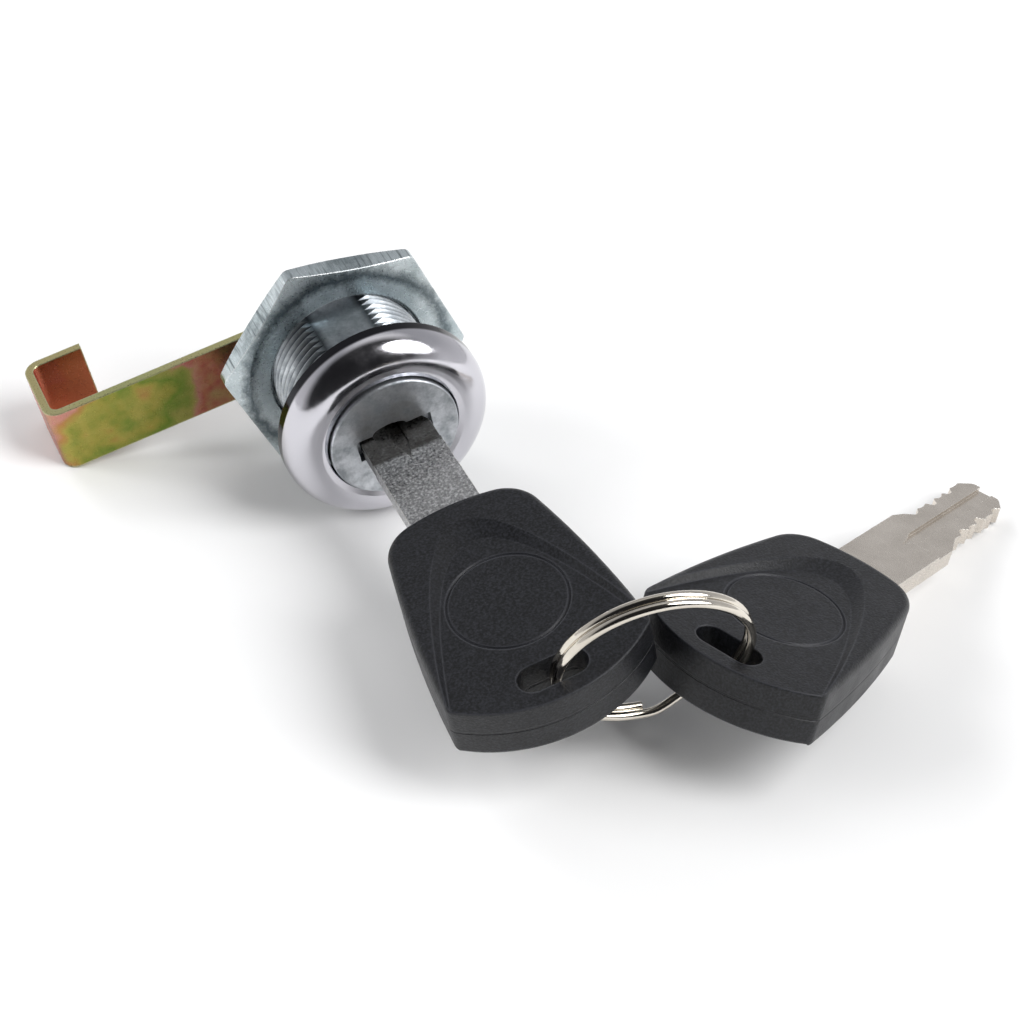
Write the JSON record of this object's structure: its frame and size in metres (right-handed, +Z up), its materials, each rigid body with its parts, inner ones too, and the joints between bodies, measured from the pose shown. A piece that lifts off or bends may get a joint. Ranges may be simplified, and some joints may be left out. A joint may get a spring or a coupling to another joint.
{
  "type": "cam lock",
  "caption": "Threaded panel cam lock with chromed bezel, hooked cam, hex nut, inserted key and spare key on a split ring.",
  "frame": {"origin": "on the lock's axis, in the plane where the flange seats on the panel", "axes": "+Y along the lock's axis, from the key side through the panel to the cam; +Z up from the surface the lock lies on"},
  "size_m": [0.1078, 0.0903, 0.0279],
  "materials": {
    "zinc_casting": "satin as-cast zinc alloy",
    "polished_chrome": "mirror chrome on pressed steel",
    "black_rubber": "matt nitrile rubber",
    "zinc_plated_steel": "blue-white zinc plate",
    "yellow_chromate_steel": "yellow iridescent chromate over zinc plate",
    "nickel_plate": "polished nickel plate",
    "nickel_blade": "satin nickel plate",
    "brass": "stamped brass",
    "black_plastic": "fine-textured black moulding"
  },
  "bodies": {
    "housing": {"housing": "zinc_casting", "bezel_cap": "polished_chrome", "plug_seal": "black_rubber"},
    "nut": {"hex_nut": "zinc_plated_steel"},
    "plug": {"plug": "zinc_casting", "stop_washer": "zinc_plated_steel", "cam": "yellow_chromate_steel", "cam_washer": "zinc_plated_steel", "spring_washer": "zinc_plated_steel", "cam_screw": "zinc_plated_steel", "wafer_springs": "nickel_plate"},
    "wafers_right": {"wafer_1": "brass", "wafer_3": "brass", "wafer_5": "brass"},
    "wafers_left": {"wafer_2": "brass", "wafer_4": "brass", "wafer_6": "brass"},
    "key": {"key_blade": "nickel_blade", "key_head": "black_plastic"},
    "ring": {"split_ring": "nickel_plate"},
    "spare_key": {"spare_key_blade": "nickel_blade", "spare_key_head": "black_plastic"}
  },
  "joints": [
    {"name": "nut_travel", "type": "slide", "parent": "housing", "child": "nut", "axis": [0, 1, 0], "range_m": [-0.0098, 0.001]},
    {"name": "plug_turn", "type": "hinge", "parent": "housing", "child": "plug", "pos_m": [0, 0, 0], "axis": [0, 1, 0], "range_deg": [0, 90]},
    {"name": "key_withdraw", "type": "slide", "parent": "plug", "child": "key", "axis": [0, -1, 0], "range_m": [0, 0.034]},
    {"name": "wafers_right_lift", "type": "slide", "parent": "plug", "child": "wafers_right", "axis": [0.9653, 0, 0.2613], "range_m": [0, 0.0008]},
    {"name": "wafers_left_lift", "type": "slide", "parent": "plug", "child": "wafers_left", "axis": [-0.9653, 0, -0.2613], "range_m": [0, 0.0008]},
    {"name": "ring_turn", "type": "hinge", "parent": "key", "child": "ring", "pos_m": [0.00958, -0.05153, 0.00362], "axis": [0.1435, 0.9605, 0.2385], "continuous": true},
    {"name": "spare_key_swing", "type": "hinge", "parent": "key", "child": "spare_key", "pos_m": [0.01821, -0.05178, -0.00057], "axis": [0.4129, -0.2772, 0.8676], "range_deg": [-60, 5]}
  ],
  "couplings": [
    {"joint": "wafers_right_lift", "follows": "key_withdraw", "ratio": 0.023506},
    {"joint": "wafers_left_lift", "follows": "key_withdraw", "ratio": 0.023506}
  ]
}
